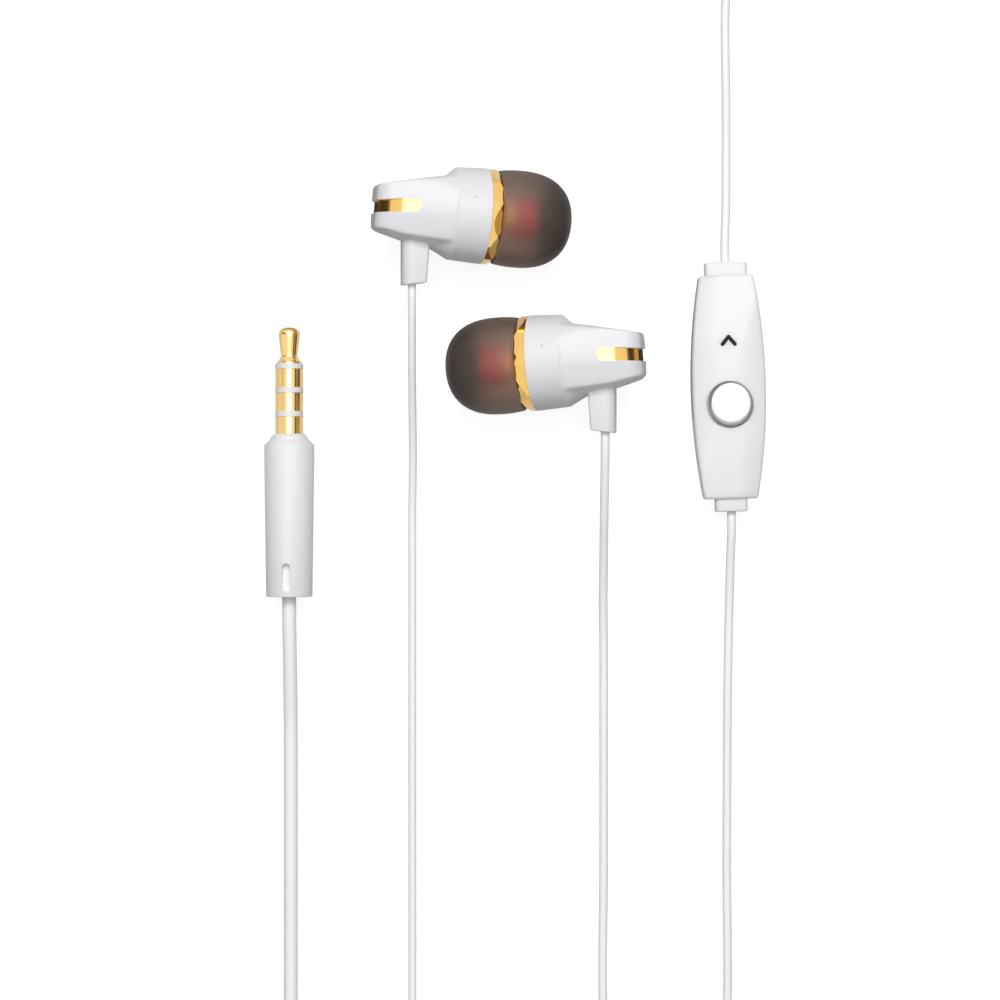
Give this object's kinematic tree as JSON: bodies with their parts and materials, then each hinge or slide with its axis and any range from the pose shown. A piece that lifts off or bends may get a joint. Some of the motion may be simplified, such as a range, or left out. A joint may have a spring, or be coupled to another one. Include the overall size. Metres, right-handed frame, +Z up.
{
  "type": "wired earphones",
  "caption": "Wired in-ear earphones with forked gold-trimmed buds, silicone tips, an in-line remote with a press button and a slim headset plug, cord coiled.",
  "frame": {"origin": "under the middle of the pair of ear buds, on the surface they lie on", "axes": "+Z up from that surface, +Y away from the ear cords, +X from the left bud to the right bud"},
  "size_m": [0.0951, 0.1785, 0.0135],
  "materials": {
    "housing": "glossy white moulding",
    "gold_trim": "polished gold plating",
    "screen": "fine perforated steel",
    "driver_frame": "turned steel cup",
    "magnet": "dark plated magnet",
    "diaphragm": "thin film",
    "circuit_board": "green board",
    "tip_silicone": "smoky translucent silicone",
    "tip_core": "red silicone",
    "remote_shell": "glossy white moulding",
    "button": "polished metal",
    "switch": "black switch",
    "contact": "polished gold plating",
    "insulator": "white insulator",
    "soft_white": "satin white elastomer",
    "cord": "satin white cord jacket"
  },
  "bodies": {
    "base": {"left_housing": "housing", "left_accent": "gold_trim", "left_stem": "housing", "left_ring": "gold_trim", "left_nozzle": "gold_trim", "left_screen": "screen", "left_driver_frame": "driver_frame", "left_magnet": "magnet", "left_diaphragm": "diaphragm", "left_terminals": "circuit_board", "right_housing": "housing", "right_accent": "gold_trim", "right_stem": "housing", "right_ring": "gold_trim", "right_nozzle": "gold_trim", "right_screen": "screen", "right_driver_frame": "driver_frame", "right_magnet": "magnet", "right_diaphragm": "diaphragm", "right_terminals": "circuit_board", "remote_front": "remote_shell", "remote_back": "remote_shell", "remote_board": "circuit_board", "remote_switch": "switch", "remote_mic": "screen", "remote_collar_up": "soft_white", "remote_collar_down": "soft_white", "plug_tip": "contact", "plug_insulator_1": "insulator", "plug_ring_1": "contact", "plug_insulator_2": "insulator", "plug_ring_2": "contact", "plug_insulator_3": "insulator", "plug_sleeve": "contact", "plug_shoulder": "soft_white", "plug_boot": "soft_white", "splitter": "soft_white", "left_cord": "cord", "left_coil": "cord", "left_tail": "cord", "right_cord": "cord", "link_cord": "cord", "trunk_cord": "cord", "trunk_coil": "cord", "trunk_tail": "cord"},
    "left_tip": {"left_tip_dome": "tip_silicone", "left_tip_core": "tip_core"},
    "right_tip": {"right_tip_dome": "tip_silicone", "right_tip_core": "tip_core"},
    "button": {"remote_button": "button"}
  },
  "joints": [
    {"name": "left_tip_slide", "type": "slide", "parent": "base", "child": "left_tip", "axis": [0.9758, -0.0682, -0.2079], "range_m": [0, 0.0034]},
    {"name": "right_tip_slide", "type": "slide", "parent": "base", "child": "right_tip", "axis": [-0.9758, -0.0682, -0.2079], "range_m": [0, 0.0034]},
    {"name": "button_press", "type": "slide", "parent": "base", "child": "button", "axis": [0, 0, -1], "range_m": [0, 0.0003], "stiffness_N_per_m": 300}
  ]
}
